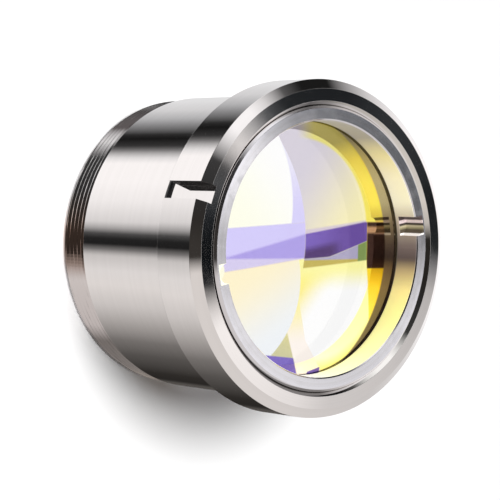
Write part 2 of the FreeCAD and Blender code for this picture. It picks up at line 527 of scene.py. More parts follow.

# Painted reflection on the rear thread, by azimuth: dark stretches and a brown patch that its grooves
# mirror
THREAD_PAINTED_REFLECTION = [
    (-100, screen(246, 242, 242)), (-85, screen(186, 175, 166)), (-60, screen(146, 140, 138)),
    (-43, screen(136, 130, 128)), (-35, screen(220, 212, 212)), (-15, screen(232, 225, 225)),
    (-9, screen(178, 158, 150)), (4, screen(246, 212, 196)), (20, screen(246, 242, 242)),
    (44, screen(246, 242, 242)), (52, screen(94, 88, 88)), (66, screen(86, 82, 82)),
    (82, screen(246, 242, 242)),
]


# Finish of the ring's bore and notches: the share of their colour that glows as painted light, how much
# rougher they are than the ring's face, and how far they are metal
DULL_PAINTED_GLOW = 0.5
DULL_ROUGHNESS = 0.42
DULL_METAL = 0.35

# How far the dull part of the bore reaches past its radius, and the width of its blend
BORE_EDGE = 0.05 * MM
BORE_BLEND = 0.03 * MM

# How far the other masks reach past the edges that they follow
MARGIN = 0.02 * MM

# Painted light: the notch on the camera's side, which shows light only
NEAR_NOTCH_PAINTED_LIGHT = screen(255, 252, 222)


def bore_light_group(ring):
    """Where the ring's duller bore is, with the painted light that the coatings throw on it, and the
    painted reflection of dark and bright stripes that a notch mirrors."""
    group, tree, given, out = new_group(
        "bore_light", [("Point", "NodeSocketVector", None), ("Radius", "NodeSocketFloat", 0.0)],
        [("Bore", "NodeSocketFloat"), ("Bore Painted Light", "NodeSocketColor"),
         ("Notch", "NodeSocketFloat"), ("Notch Painted Light", "NodeSocketColor")],
    )
    x, y = tree.parts(given["Point"])[:2]
    radius = given["Radius"]
    edge = ring.bore_radius + BORE_EDGE
    tree.feed(out["Bore"], tree.smooth(radius, edge, edge - BORE_BLEND))
    # Painted light on the bore, by azimuth
    tree.feed(out["Bore Painted Light"], tree.by_angle(y, tree.math("MULTIPLY", x, -1), BORE_PAINTED_LIGHT))
    # Painted reflection of stripes across a notch, and painted light only in the notch on the camera's side
    away = Vector((-math.sin(ring.notch_angle), math.cos(ring.notch_angle)))
    side = tree.math("MULTIPLY_ADD", x, away.x, tree.math("MULTIPLY", y, away.y))
    place = tree.math("MULTIPLY_ADD", tree.math("DIVIDE", side, ring.notch_width), -1, 0.5)
    near_side = tree.math("LESS_THAN", x, 0)
    tree.feed(out["Notch Painted Light"], tree.mix(near_side, tree.ramp(place, NOTCH_PAINTED_REFLECTION), NEAR_NOTCH_PAINTED_LIGHT))
    reach = ring.bore_radius + ring.notch_reach + MARGIN
    width = tree.math("LESS_THAN", tree.math("ABSOLUTE", side), (ring.notch_width + MARGIN) / 2)
    deep = tree.math("MULTIPLY", tree.math("LESS_THAN", radius, reach),
                     tree.math("GREATER_THAN", radius, edge))
    tree.feed(out["Notch"], tree.math("MULTIPLY", width, deep))
    return group


def turned_metal(name, marks_group, base, streak, roughness, mottle, fine, bump, streaks=0.06):
    """Metal with turning marks. fine is the grooves per metre, mottle is how much the marks
    change the roughness, and streaks is how far the base turns to the streak's colour."""
    tree, shader, point = new_material(name)
    marks = tree.node("ShaderNodeGroup", node_tree=marks_group)
    tree.feed(marks.inputs["Point"], point)
    marks.inputs["Fine Per Metre"].default_value = fine
    colour = tree.mix(tree.math("MULTIPLY", marks.outputs["Streaks"], streaks), base, streak)
    rough = tree.math("MULTIPLY_ADD", marks.outputs["Mottle"], mottle, roughness)
    tree.feed(shader.inputs["Base Color"], colour)
    tree.feed(shader.inputs["Roughness"], rough)
    shader.inputs["Metallic"].default_value = 1.0
    tree.relief(shader, marks.outputs["Height"], bump, 0.01 * MM)
    return tree, shader, point, marks.outputs["Radius"], colour, rough


def ring_metal(name, marks_group, colours, ring):
    """The ring's steel, with a duller bore and striped notches, whose painted light and painted reflections
    also glow.
    """
    tree, shader, point, radius, colour, rough = turned_metal(
        name, marks_group, colours.ring, colours.steel_streak,
        roughness=0.085, mottle=0.04, fine=6000, bump=0.06, streaks=0.4,
    )
    light = tree.node("ShaderNodeGroup", node_tree=bore_light_group(ring))
    tree.feed(light.inputs["Point"], point)
    tree.feed(light.inputs["Radius"], radius)
    # Painted light on the bore, then painted reflected stripes in the notches
    colour = tree.mix(light.outputs["Bore"], colour, light.outputs["Bore Painted Light"])
    colour = tree.mix(light.outputs["Notch"], colour, light.outputs["Notch Painted Light"])
    dull = tree.math("MAXIMUM", light.outputs["Bore"], light.outputs["Notch"])
    tree.feed(shader.inputs["Base Color"], colour)
    tree.feed(shader.inputs["Roughness"], tree.math("MULTIPLY_ADD", dull, DULL_ROUGHNESS, rough))
    tree.feed(shader.inputs["Metallic"], tree.math("MULTIPLY_ADD", dull, DULL_METAL - 1, 1))
    # Painted light: the bore and the notches glow in their painted colours, though they are no lamp
    tree.feed(shader.inputs["Emission Color"], colour)
    tree.feed(shader.inputs["Emission Strength"], tree.math("MULTIPLY", dull, DULL_PAINTED_GLOW))


def barrel_metal(name, marks_group, colours, barrel, thread):
    """The barrel's steel, with painted reflections by azimuth in the chamfer of the mouth and on the rear
    thread.
    """
    tree, shader, point, radius, colour, _ = turned_metal(
        name, marks_group, colours.steel, colours.steel_streak,
        roughness=0.045, mottle=0.02, fine=9000, bump=0.03,
    )
    x, y, z = tree.parts(point)
    near = tree.math("MULTIPLY", x, -1)
    mouth = tree.math("MULTIPLY", tree.math("GREATER_THAN", radius, barrel.ring_thread_radius - MARGIN),
                      tree.math("LESS_THAN", radius, barrel.mouth_radius))
    rear = tree.math("MULTIPLY", tree.math("LESS_THAN", z, thread.zone_length),
                     tree.math("GREATER_THAN", radius, barrel.lens_bore_radius))
    # Painted reflections by azimuth: on the chamfer of the mouth, then on the rear thread
    colour = tree.mix(mouth, colour, tree.by_angle(y, near, MOUTH_PAINTED_REFLECTION))
    colour = tree.mix(rear, colour, tree.by_angle(y, near, THREAD_PAINTED_REFLECTION))
    tree.feed(shader.inputs["Base Color"], colour)


GLASS_IOR = 1.46

# Faint clouds in bare glass, and how far they lighten its tint
CLOUDS_PER_METRE = 260
CLOUDINESS = 0.06

# Share of the coated face that works as a mirror
COATING_MIRROR = 0.92


def glass(shader, metallic=0.0):
    """Smooth clear glass, or glass that is part mirror."""
    shader.inputs["Roughness"].default_value = 0.0
    shader.inputs["IOR"].default_value = GLASS_IOR
    shader.inputs["Transmission Weight"].default_value = 1.0
    shader.inputs["Metallic"].default_value = metallic


def clear_glass(name, tint):
    """Bare glass, a little cloudy in its tint."""
    tree, shader, point = new_material(name)
    cloud = tree.math("MULTIPLY", tree.noise(Vector=point, Scale=CLOUDS_PER_METRE), CLOUDINESS)
    tree.feed(shader.inputs["Base Color"], tree.mix(cloud, tint, (1, 1, 1)))
    glass(shader)


def coating_reflection_group():
    """Painted reflections: hues that the coatings throw back, in curved fields across the face of the front
    lens.
    """
    group, tree, given, out = new_group(
        "coating_painted_reflections", [("Point", "NodeSocketVector", None)], [("Colour", "NodeSocketColor")]
    )
    x, y = [tree.math("DIVIDE", part, MM) for part in tree.parts(given["Point"])[:2]]

    def over(start, end, soft=0.1):
        """Mask of what lies to the left of a line, in millimetres on the lens."""
        run = Vector(end) - Vector(start)
        away = Vector((-run.y, run.x)).normalized()
        side = tree.math("MULTIPLY_ADD", x, away.x, tree.math("MULTIPLY", y, away.y))
        return tree.smooth(tree.math("SUBTRACT", side, away.dot(Vector(start))), -soft, soft)

    def inside(centre, radius, soft=0.1):
        """Mask of what lies in a circle."""
        gap = tree.length(tree.math("SUBTRACT", x, centre[0]), tree.math("SUBTRACT", y, centre[1]))
        return tree.smooth(tree.math("SUBTRACT", radius, gap), -soft, soft)

    def outside(mask):
        """Mask of what lies in none of a mask."""
        return tree.math("SUBTRACT", 1, mask)

    def both(*masks):
        """Mask of what lies in all of the masks."""
        total = masks[0]
        for mask in masks[1:]:
            total = tree.math("MULTIPLY", total, mask)
        return total

    def fade(start, end, first, second):
        """A colour that changes along a line."""
        run = Vector(end) - Vector(start)
        place = tree.math("MULTIPLY_ADD", x, run.x, tree.math("MULTIPLY", y, run.y))
        share = tree.math("SUBTRACT", place, run.dot(Vector(start)))
        return tree.mix(tree.smooth(share, 0, run.length_squared), first, second)

    # Lines and curves that the fields share
    above_band = over((-10.33, 1.92), (-2.74, 2.46))
    above_foot = over((-10.21, -2.31), (-1.34, -1.08))
    above_middle = over((-10.26, -1.08), (-0.8, -1.02), 0.15)
    above_diagonal = over((-7.93, -0.29), (-0.88, 1.43), 0.2)
    above_strong = both(over((-0.67, -1.08), (2.5, -0.89)), over((2.5, -0.89), (8.1, 0.75)))
    below = outside(above_strong)
    left_lobe = inside((-11.1, -3.6), 9.8)
    upper_lobe = inside((-17.2, 4.7), 14.7)
    wide_lobe = inside((-18.2, 0.95), 17.4)
    right_of_lobe = outside(wide_lobe)
    blade_edge = over((-2.96, -7.61), (-0.86, -12.56))

    # Upper half, painted reflections: lilac grey that turns to cream, then the two lobes on the left
    hue = fade((-1.0, 9.0), (7.0, 2.0), screen(214, 208, 220), screen(252, 243, 185))
    hue = tree.mix(both(wide_lobe, above_band), hue,
                   fade((-4, 10), (-2, 3), screen(238, 236, 250), screen(216, 210, 252)))
    hue = tree.mix(both(upper_lobe, above_band), hue,
                   fade((-3, 9), (-10, 3), screen(255, 255, 255), screen(255, 255, 236)))

    # Lower half, painted reflections: white glare with a yellow corner, a wedge with a pale blade, a cream
    # lobe
    glare = fade((0.2, -1.6), (3.0, -4.2), screen(255, 240, 120), screen(255, 255, 255))
    glare = tree.mix(tree.smooth(y, -4.6, -1.8), glare, screen(255, 250, 165))
    glare = tree.mix(inside((1.5, -2.5), 9.2, 0.7), screen(255, 246, 175), glare)
    wedge = fade((-1.4, -5.0), (-3.0, -11), screen(252, 238, 140), screen(206, 202, 158))
    blade = fade((-1.5, -5), (-1, -10), screen(255, 244, 160), screen(255, 246, 238))
    wedge = tree.mix(blade_edge, wedge, blade)
    glare_side = both(over((-1.51, -4.81), (-0.11, -9.31)), over((-0.11, -9.31), (2.27, -12.27)))
    hue = tree.mix(below, hue, tree.mix(glare_side, wedge, glare))
    cream = fade((-9, -3), (-5, -10), screen(255, 243, 205), screen(240, 244, 248))
    hue = tree.mix(both(left_lobe, outside(above_foot)), hue, cream)

    # Violet band of painted reflection: three pale strips on the left, a strong one on the right
    strips = tree.mix(above_diagonal, screen(174, 160, 232), screen(212, 204, 252))
    strips = tree.mix(above_middle, screen(214, 204, 240), strips)
    hue = tree.mix(both(wide_lobe, above_foot, outside(above_band)), hue, strips)
    strong = fade((-0.7, 0), (6, 0.8), screen(122, 98, 184), screen(106, 80, 158))
    shadow = both(outside(over((-0.7, -0.1), (3.6, 0.6), 0.5)), over((4.2, -2), (3.2, 3), 1.2))
    strong = tree.mix(shadow, strong, screen(84, 62, 112))
    strip = both(right_of_lobe, outside(over((-0.88, 1.84), (8.23, 2.92), 0.15)), above_strong)
    hue = tree.mix(strip, hue, screen(214, 200, 214))
    band = both(right_of_lobe, outside(over((-0.88, 1.43), (7.76, 2.71))), above_strong)
    hue = tree.mix(band, hue, strong)

    # Thin wedge of painted reflection under the band, with a green end
    under = both(over((-0.76, -1.99), (8.18, -1.23)), below, right_of_lobe)
    thin = tree.mix(over((-0.7, -1.2), (6.7, -1.1), 0.12), screen(196, 178, 92), screen(172, 166, 194))
    hue = tree.mix(under, hue, tree.mix(over((6.72, -3), (6.72, 3)), screen(128, 150, 86), thin))

    # Painted reflection of the left notch
    hue = tree.mix(inside((-12.0, -2.3), 1.25), hue, screen(255, 253, 226))

    # Painted violet glints at the foot
    foot = both(outside(over((-4.63, -10.76), (-1.48, -11.1))), outside(blade_edge))
    hue = tree.mix(foot, hue, screen(124, 106, 192))
    glint = both(outside(over((0.2, -12.7), (2.4, -12.1))), over((2.3, -13), (2.3, -11)),
                 outside(over((0.6, -13), (0.6, -11))))
    hue = tree.mix(glint, hue, screen(118, 96, 188))

    # Painted reflection: a yellow field on the right, where the lens mirrors the bore of the ring
    horizon = over((0.6, 2.7), (9, 2.7))
    upper_right = both(outside(inside((-1.07, 2.11), 9.0, 0.2)), horizon,
                       outside(over((-0.4, 2), (-0.4, 12), 1.4)))
    hue = tree.mix(upper_right, hue, fade((2, 12), (8, 4), screen(232, 222, 130), screen(248, 230, 96)))
    lower_right = both(outside(over((9.2, -9.0), (8.1, -1.4))), outside(over((8.1, -1.4), (8.1, 3))),
                       outside(horizon))
    hue = tree.mix(lower_right, hue, fade((9, -2), (8.5, -9), screen(255, 216, 40), screen(252, 238, 140)))
    # A painted highlight across a dark brown patch, then a painted olive grey rim at the edge
    gleam = tree.smooth(tree.math("ABSOLUTE", tree.math("SUBTRACT", y, 1.9)), 0.5, 0.15)
    dark = tree.mix(gleam, screen(58, 36, 28), screen(186, 140, 100))
    hue = tree.mix(both(lower_right, over((7, -2.1), (10, -2.1))), hue, dark)
    edge = outside(inside((-3.4, -0.25), 14.4, 0.15))
    hue = tree.mix(edge, hue, fade((8, 8), (10, -6), screen(182, 172, 140), screen(124, 108, 102)))
    tree.feed(out["Colour"], hue)
    return group


def coated_glass(name):
    """The coated face: part mirror in the coating's hues, with painted reflections as its colour, part
    clear.
    """
    tree, shader, point = new_material(name)
    coating = tree.node("ShaderNodeGroup", node_tree=coating_reflection_group())
    tree.feed(coating.inputs["Point"], point)
    tree.feed(shader.inputs["Base Color"], coating.outputs["Colour"])
    glass(shader, metallic=COATING_MIRROR)


# How dark the grain of plastic and rubber gets
GRAIN_SHADE = 0.8


def moulded(name, base, roughness, grains, bump):
    """Plastic or rubber with a faint grain, given in grains per metre."""
    tree, shader, point = new_material(name)
    grain = tree.noise(4, Vector=point, Scale=grains)
    tree.feed(shader.inputs["Base Color"], tree.mix(grain, base, [part * GRAIN_SHADE for part in base]))
    shader.inputs["Roughness"].default_value = roughness
    tree.relief(shader, grain, bump, 0.02 * MM)


class LENSUNIT_OT_materials(Operator):
    """Make the finishes of all parts"""
    bl_idname = "lens_unit.materials"
    bl_label = "Materials"

    def execute(self, context):
        colours = settings("lens_unit_colours")
        barrel = settings("lens_unit_barrel")
        marks = turning_marks_group()
        barrel_metal("bright_steel", marks, colours, barrel, settings("lens_unit_thread"))
        ring_metal("satin_ring_steel", marks, colours, settings("lens_unit_ring"))
        turned_metal("turned_spacer", marks, colours.spacer, colours.steel_streak,
                     roughness=0.30, mottle=0.10, fine=5000, bump=0.4)
        clear_glass("clear_glass", colours.glass)
        coated_glass("coated_glass")
        moulded("skived_plastic", colours.washer, roughness=0.5, grains=3000, bump=0.1)
        moulded("moulded_rubber", colours.rubber, roughness=0.35, grains=6000, bump=0.2)
        return {"FINISHED"}


# Barrel

def rim_rear_z(barrel):
    """Height of the step behind the rim."""
    return barrel.overall_length - barrel.rim_width


def barrel_section(barrel, thread, slot, lens_seat_z):
    """Corners of the barrel's half section, from the rear face round to the rear face."""
    rim_rear = rim_rear_z(barrel)
    groove_front = SEAL[1].z + (slot.seal_groove_width - (SEAL[1].z - SEAL[0].z)) / 2
    groove_rear = groove_front - slot.seal_groove_width
    groove_radius = barrel.body_radius - slot.seal_groove_depth
    front = barrel.overall_length
    mouth_depth = barrel.mouth_radius - barrel.ring_thread_radius
    thread_end = front - barrel.ring_thread_depth
    return [
        (thread.core_radius, 0),
        (thread.core_radius, thread.zone_length),
        (barrel.body_radius, thread.zone_length),
        (barrel.body_radius, groove_rear),
        (groove_radius, groove_rear),
        (groove_radius, groove_front),
        (barrel.body_radius, groove_front),
        (barrel.body_radius, rim_rear),
        (barrel.rim_radius, rim_rear),
        (barrel.rim_radius, front - barrel.rim_chamfer_axial),
        (barrel.rim_radius - barrel.rim_chamfer_radial, front - barrel.face_rise),
        (barrel.mouth_radius, front),
        (barrel.ring_thread_radius, front - mouth_depth),
        (barrel.ring_thread_radius, thread_end),
        (barrel.lens_bore_radius, thread_end),
        (barrel.lens_bore_radius, lens_seat_z),
        (barrel.rear_bore_radius, lens_seat_z),
        (barrel.rear_bore_radius, barrel.rear_chamfer),
        (barrel.rear_bore_radius + barrel.rear_chamfer, 0),
    ]


class LENSUNIT_OT_barrel(Operator):
    """Turn the barrel and cut the key slot"""
    bl_idname = "lens_unit.barrel"
    bl_label = "Barrel"

    def execute(self, context):
        barrel = settings("lens_unit_barrel")
        slot = settings("lens_unit_key_slot")
        section = barrel_section(barrel, settings("lens_unit_thread"), slot, REAR_WASHER[0].z)
        turned = lathe(rounded(section, barrel.edge_round), barrel.segments)
        floor = barrel.body_radius + slot.floor_rise
        past_rim = barrel.rim_radius + MM
        half = slot.width / 2
        outline = [(floor, -half), (past_rim, -half), (past_rim, half), (floor, half)]
        block = prism(outline, rim_rear_z(barrel) - MM, barrel.overall_length + MM)
        mesh = cut_and_break(turned, [turned_copy(block, slot.direction)], barrel.edge_round)
        finish_mesh("barrel_skin", mesh, ["bright_steel"], ["barrel"])
        return {"FINISHED"}


# Rear thread

# Shares of the pitch: half the width of a groove, and how far its middle stays from the end
GROOVE_HALF_WIDTH = 0.44
GROOVE_END = 0.45

# Points of the band nearer than this are one point
WELD_DISTANCE = 1e-7


def thread_tree():
    """Geometry nodes that wrap a grid into a closed band with one helical groove."""
    group = bpy.data.node_groups.new("helical_thread", "GeometryNodeTree")
    sizes = ["Crest Radius", "Core Radius", "Zone Length", "Pitch", "Depth", "First Groove",
             "Lead Length", "Lead Depth", "Run Out"]
    kinds = {name: "Float" for name in sizes} | {"Segments": "Int", "Rows": "Int", "Material": "Material"}
    for name, kind in kinds.items():
        group.interface.new_socket(name, in_out="INPUT", socket_type="NodeSocket" + kind)
    group.interface.new_socket("Mesh", in_out="OUTPUT", socket_type="NodeSocketGeometry")
    tree = Tree(group)
    given = tree.node("NodeGroupInput").outputs
    pitch, crest, zone = given["Pitch"], given["Crest Radius"], given["Zone Length"]

    def less(first, second, clamp=False):
        return tree.math("SUBTRACT", first, second, clamp=clamp)

    def times(first, second):
        return tree.math("MULTIPLY", first, second)

    def share(part, whole):
        return tree.math("DIVIDE", part, whole, clamp=True)

    # A flat grid, one metre square: x runs round the axis and y runs up the thread
    grid = tree.node("GeometryNodeMeshGrid", {
        "Vertices X": tree.math("ADD", given["Segments"], 1), "Vertices Y": given["Rows"],
    })
    x, y = tree.parts(tree.node("GeometryNodeInputPosition").outputs[0])[:2]
    turn = tree.math("ADD", x, 0.5)
    last = less(given["Rows"], 1)
    row = tree.math("ROUND", times(tree.math("ADD", y, 0.5), last))
    height = times(share(less(row, 1), less(given["Rows"], 4)), zone)

    # Distance to the nearest turn of the right-handed groove
    turns = less(tree.math("DIVIDE", less(height, given["First Groove"]), pitch), turn)
    away = times(less(turns, tree.math("ROUND", turns)), pitch)
    half_width = times(pitch, GROOVE_HALF_WIDTH)
    vee = less(1, tree.math("DIVIDE", tree.math("ABSOLUTE", away), half_width), clamp=True)
    end = less(zone, times(pitch, GROOVE_END))
    fade = share(less(end, less(height, away)), given["Run Out"])
    cut = less(crest, times(times(vee, fade), given["Depth"]))
    lead = less(1, tree.math("DIVIDE", height, given["Lead Length"]), clamp=True)
    outer = tree.math("MINIMUM", cut, less(crest, times(lead, given["Lead Depth"])))

    # The first row and the last two rows make the inner wall
    is_first = tree.math("LESS_THAN", row, 0.5)
    is_last = tree.math("GREATER_THAN", row, less(last, 0.5))
    is_inner = tree.math("ADD", is_first, tree.math("GREATER_THAN", row, less(last, 1.5)))
    radius = tree.math("ADD", times(outer, less(1, is_inner)), times(given["Core Radius"], is_inner))
    turned = times(turn, 2 * math.pi)
    point = tree.node("ShaderNodeCombineXYZ", {
        "X": times(radius, tree.math("COSINE", turned)),
        "Y": times(radius, tree.math("SINE", turned)),
        "Z": times(height, less(1, tree.math("ADD", is_first, is_last))),
    })
    steps = [
        ("GeometryNodeSetPosition", {"Position": point.outputs[0]}),
        ("GeometryNodeMergeByDistance", {"Distance": WELD_DISTANCE}),
        ("GeometryNodeRealizeInstances", {}),
        ("GeometryNodeSetMaterial", {"Material": given["Material"]}),
    ]
    shape = grid.outputs["Mesh"]
    for kind, inputs in steps:
        shape = tree.node(kind, {"Geometry": shape} | inputs).outputs[0]
    tree.feed(tree.node("NodeGroupOutput").inputs["Mesh"], shape)
    return group


def mesh_from_tree(name, group, values):
    """The plain mesh that a node tree makes with these named inputs."""
    temp = add_object(name, bpy.data.meshes.new(name))
    modifier = temp.modifiers.new(name, "NODES")
    modifier.node_group = group
    for item in group.interface.items_tree:
        if item.in_out == "INPUT":
            modifier[item.identifier] = values[item.name]
    graph = bpy.context.evaluated_depsgraph_get()
    graph.update()
    mesh = bpy.data.meshes.new_from_object(temp.evaluated_get(graph))
    temp.modifiers.remove(modifier)
    bpy.data.objects.remove(temp)
    shape = bmesh.new()
    shape.from_mesh(mesh)
    bmesh.ops.recalc_face_normals(shape, faces=shape.faces)
    shape.to_mesh(mesh)
    shape.free()
    return mesh


class LENSUNIT_OT_thread(Operator):
    """Wind the fine rear thread"""
    bl_idname = "lens_unit.thread"
    bl_label = "Rear thread"

    def execute(self, context):
        thread = settings("lens_unit_thread")
        values = {
            "Crest Radius": thread.crest_radius, "Core Radius": thread.core_radius,
            "Zone Length": thread.zone_length, "Pitch": thread.pitch, "Depth": thread.depth,
            "First Groove": thread.first_groove, "Lead Length": thread.lead_length,
            "Lead Depth": thread.lead_depth, "Run Out": thread.run_out,
            "Segments": settings("lens_unit_barrel").segments, "Rows": thread.rows,
            "Material": bpy.data.materials["bright_steel"],
        }
        mesh = mesh_from_tree("rear_thread", thread_tree(), values)
        mesh.materials.clear()
        finish_mesh("rear_thread", mesh, ["bright_steel"], ["barrel"])
        return {"FINISHED"}


# Retaining ring

def notch_outline(ring, steps=16):
    """Round-ended channel that opens into the bore."""
    half = ring.notch_width / 2
    centre = ring.bore_radius + ring.notch_reach - half
    arc = []
    for i in range(steps + 1):
        a = -math.pi / 2 + math.pi * i / steps
        arc.append((centre + half * math.cos(a), half * math.sin(a)))
    inner = ring.bore_radius - MM
    return arc + [(inner, half), (inner, -half)]


class LENSUNIT_OT_retaining_ring(Operator):
    """Turn the retaining ring and cut its notches"""
    bl_idname = "lens_unit.retaining_ring"
    bl_label = "Retaining ring"

    def execute(self, context):
        barrel = settings("lens_unit_barrel")
        ring = settings("lens_unit_ring")
        rear, front = RING[0].z, RING[1].z
        outer = RING[1].x
        section = [
            (ring.bore_radius, rear),
            (outer - ring.outer_chamfer, rear),
            (outer, rear + ring.outer_chamfer),
            (outer, front - ring.outer_chamfer),
            (outer - ring.outer_chamfer, front),
            (ring.bore_radius + ring.inner_chamfer, front),
            (ring.bore_radius, front - ring.inner_chamfer),
        ]
        turned = lathe(rounded(section, barrel.edge_round), barrel.segments)
        cutter = prism(notch_outline(ring), front - ring.notch_depth, front + MM)
        cutters = [
            turned_copy(cutter, ring.notch_angle + 2 * math.pi * i / ring.notch_count)
            for i in range(ring.notch_count)
        ]
        mesh = cut_and_break(turned, cutters, barrel.edge_round)
        finish_mesh("ring_body", mesh, ["satin_ring_steel"], ["retaining_ring"])
        return {"FINISHED"}


# Lenses

def dome(vertex_z, curve_radius, reach, rows):
    """Points of a spherical surface from the axis out, highest on the axis."""
    points = []
    for i in range(rows + 1):
        r = reach * i / rows
        points.append((r, vertex_z - curve_radius + math.sqrt(curve_radius ** 2 - r ** 2)))
    return points


def lens_edge(outer, front_z, rear_z, bevel):
    """Points of a lens's ground edge, from behind its front to the start of its back."""
    return [(outer, front_z - bevel), (outer, rear_z + bevel), (outer - bevel, rear_z)]


class LENSUNIT_OT_front_lens(Operator):
    """Grind the domed front lens"""
    bl_idname = "lens_unit.front_lens"
    bl_label = "Front lens"

    def execute(self, context):
        lens = settings("lens_unit_lenses")
        low, high = FRONT_LENS
        rows = 40
        front = dome(high.z, lens.front_radius, high.x - lens.bevel, rows)
        edge = lens_edge(high.x, front[-1][1], low.z, lens.bevel)
        back = [(0, low.z)]
        coated = [int(front[i][0] < lens.coated_radius) for i in range(rows)]
        zones = coated + [0] * (len(edge) + len(back))
        segments = settings("lens_unit_barrel").segments
        mesh = shaded(lathe(front + edge + back, segments, closed=False, zones=zones))
        finishes = ["clear_glass", "coated_glass"]
        finish_mesh("front_lens_glass", mesh, finishes, ["front_lens"])
        return {"FINISHED"}


class LENSUNIT_OT_rear_lens(Operator):
    """Grind the meniscus behind the front lens"""
    bl_idname = "lens_unit.rear_lens"
    bl_label = "Rear lens"

    def execute(self, context):
        lens = settings("lens_unit_lenses")
        low, high = REAR_LENS
        rows = 30
        front = dome(high.z, lens.rear_front_radius, high.x - lens.bevel, rows)
        edge = lens_edge(high.x, front[-1][1], low.z, lens.bevel)
        sag = lens.rear_back_radius - math.sqrt(lens.rear_back_radius ** 2 - lens.rear_land ** 2)
        hollow = dome(low.z + sag, lens.rear_back_radius, lens.rear_land, rows)
        segments = settings("lens_unit_barrel").segments
        mesh = shaded(lathe(front + edge + hollow[::-1], segments, closed=False))
        finish_mesh("rear_lens_glass", mesh, ["clear_glass"], ["rear_lens"])
        return {"FINISHED"}


# Spacer, washers and seal

def plain_sleeve(name, node_box, reach, finish, node):
    """A turned sleeve or washer that fills the box of its solid and comes in over the lenses."""
    low, high = node_box
    bore = FRONT_LENS[1].x - reach
    section = [(bore, low.z), (high.x, low.z), (high.x, high.z), (bore, high.z)]
    barrel = settings("lens_unit_barrel")
    mesh = shaded(lathe(rounded(section, barrel.edge_round), barrel.segments))
    finish_mesh(name, mesh, [finish], [node])


class LENSUNIT_OT_spacer_and_washers(Operator):
    """Turn the spacer sleeve and the two washers"""
    bl_idname = "lens_unit.spacer_and_washers"
    bl_label = "Spacer and washers"

    def execute(self, context):
        lens = settings("lens_unit_lenses")
        plain_sleeve("spacer_sleeve", SPACER, lens.spacer_reach,
                     "turned_spacer", "lens_spacer")
        for node, node_box in (("front_washer", FRONT_WASHER), ("rear_washer", REAR_WASHER)):
            plain_sleeve(node + "_ring", node_box, lens.washer_reach,
                         "skived_plastic", node)
        return {"FINISHED"}


class LENSUNIT_OT_seal_ring(Operator):
    """Mould the seal ring"""
    bl_idname = "lens_unit.seal_ring"
    bl_label = "Seal ring"

    def execute(self, context):
        low, high = SEAL
        cord_radius = (high.z - low.z) / 2
        centre_z = (high.z + low.z) / 2
        centre_r = high.x - cord_radius
        steps = 24
        profile = []
        for i in range(steps):
            a = 2 * math.pi * i / steps
            profile.append((centre_r + cord_radius * math.cos(a), centre_z + cord_radius * math.sin(a)))
        mesh = lathe(profile, settings("lens_unit_barrel").segments)
        finish_mesh("seal_rubber_ring", mesh, ["moulded_rubber"], ["seal_ring"])
        return {"FINISHED"}


# Stage

# Soft boxes and dark gaps that the side walls mirror, by azimuth
WALL_TONES = [
    (-180, shade(0.44, 0.08)), (-168, shade(0.34, 0.08)), (-152, shade(0.31, 0.08)),
    (-144, shade(0.17, 0.1)), (-130, shade(0.19, 0.1)), (-104, shade(0.33, 0.06)),
    (-87, shade(0.45, 0.05)), (-70, shade(0.64, 0.04)), (-53, shade(0.79, 0.03)),
    (-36, shade(0.87, 0.03)), (-24, shade(0.87, 0.02)), (-12, shade(0.78, 0.02)),
    (-7, shade(0.45, 0.02)), (-3, shade(0.14)), (2, shade(0.16)), (6, shade(0.31)),
    (10, shade(0.65, 0.01)), (15, shade(0.85, 0.01)), (32, shade(0.96, 0.01)),
    (48, shade(1.0, 0.01)), (65, shade(1.0, 0.01)), (70, shade(0.90)), (74, shade(0.72)),
    (78, shade(0.45)), (82, shade(0.22)), (90, shade(0.115)), (95, shade(0.19)),
    (107, shade(0.55, -0.02)), (116, shade(0.72, -0.02)), (130, shade(0.84, -0.01)),
    (150, shade(0.89, -0.01)), (179, shade(0.88)),
]

# What the chamfers mirror, by angle in degrees from the far side
CHAMFER_TONES = [
    (-180, shade(0.22, 0.1)), (-170, shade(0.22, 0.1)), (-158, shade(0.84, 0.04)),
    (-60, shade(0.83, 0.03)), (-30, shade(0.79, 0.02)), (-18, shade(0.86, 0.01)),
    (-8, shade(1.0)), (10, shade(1.0)), (18, shade(0.97)), (31, shade(0.82)),
    (39, shade(0.62)), (46, shade(0.13)), (58, shade(0.13)), (66, shade(0.34)),
    (76, shade(0.86)), (84, shade(1.0)), (96, shade(1.0)), (104, shade(0.84)),
    (116, shade(0.24)), (140, shade(0.20)), (160, shade(0.19, 0.1)), (179, shade(0.22, 0.1)),
]

# What the barrel's flat front mirrors, by angle round the middle of the window over it
FRONT_TONES = [
    (-180, shade(0.17, -0.1)), (-174, shade(0.50)), (-165, shade(0.72, 0.02)), (-130, shade(0.79, 0.02)),
    (-95, shade(0.81, 0.02)), (-80, shade(0.90, 0.02)), (-60, shade(0.94, 0.02)),
    (-30, shade(0.98, 0.02)), (-22, shade(0.80, 0.03)), (-14, shade(0.13, -0.15)),
    (0, shade(0.09, -0.2)), (12, shade(0.16, -0.15)), (24, shade(0.30, -0.05)),
    (31, shade(0.27, -0.02)), (37, shade(0.74, 0.02)), (42, shade(0.88, 0.02)),
    (51, shade(0.68)), (58, shade(0.34, -0.05)), (68, shade(0.16, -0.12)), (100, shade(0.15, -0.12)),
    (125, shade(0.22, -0.1)), (145, shade(0.20, -0.1)), (160, shade(0.14, -0.12)), (179, shade(0.16, -0.1)),
]

